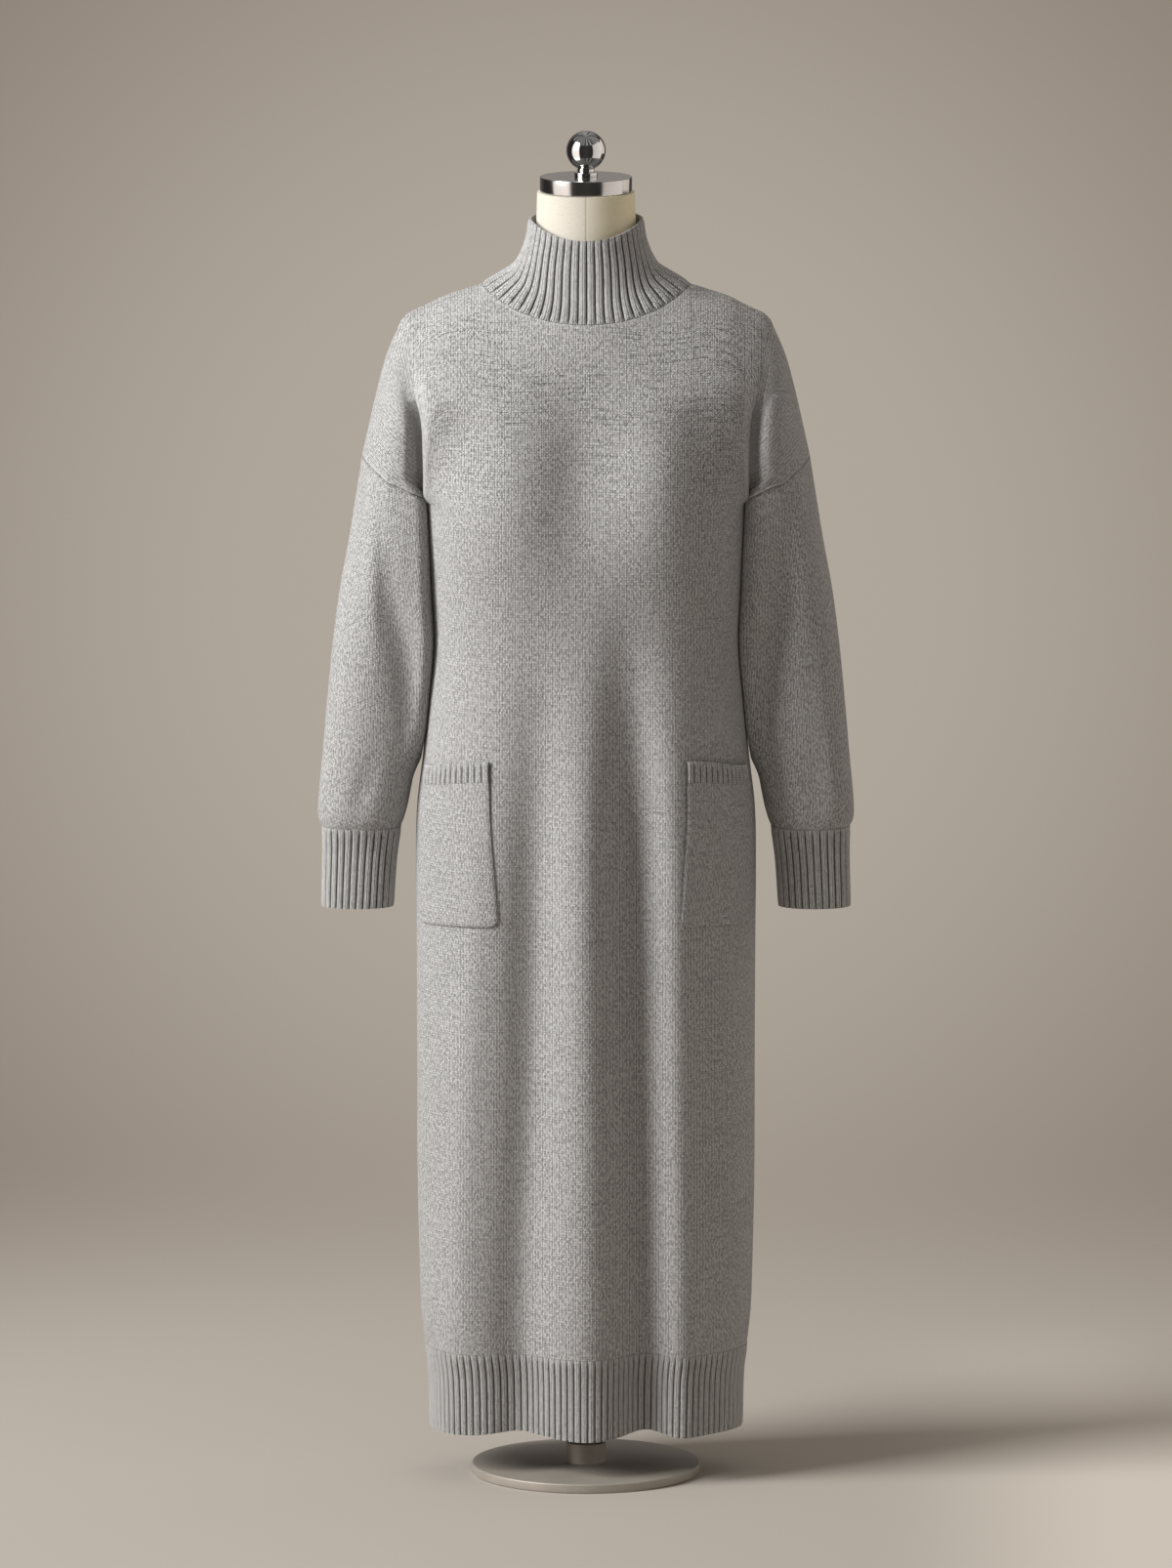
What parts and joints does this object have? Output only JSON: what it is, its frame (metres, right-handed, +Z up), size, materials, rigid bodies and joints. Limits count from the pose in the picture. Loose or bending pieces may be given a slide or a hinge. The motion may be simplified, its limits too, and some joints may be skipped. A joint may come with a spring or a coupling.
{
  "type": "sweater dress on a dress form",
  "caption": "Long knit sweater dress with a ribbed funnel neck, dropped shoulders, patch pockets, ribbed cuffs and hem, worn by a limbless dress form on a pole stand.",
  "frame": {"origin": "centre of the base's underside, on the floor", "axes": "+Z up along the pole, -Y the way the dress faces, +X towards its right side as a viewer in front sees it"},
  "size_m": [0.5598, 0.2698, 1.4191],
  "materials": {
    "grey_knit": "matte",
    "grey_rib": "matte",
    "linen": "matte",
    "steel": "satin",
    "chrome": "polished",
    "taupe_paint": "satin"
  },
  "bodies": {
    "root": {"body_front": "grey_knit", "body_back": "grey_knit", "sleeve_left": "grey_knit", "sleeve_right": "grey_knit", "pocket_left": "grey_knit", "pocket_right": "grey_knit", "hem_front": "grey_rib", "hem_back": "grey_rib", "collar": "grey_rib", "cuff_left": "grey_rib", "cuff_right": "grey_rib", "pocket_rib_left": "grey_rib", "pocket_rib_right": "grey_rib", "form_torso": "linen", "neck_cap": "steel", "finial": "chrome", "stand_pole": "taupe_paint", "stand_base": "taupe_paint"}
  },
  "joints": []
}
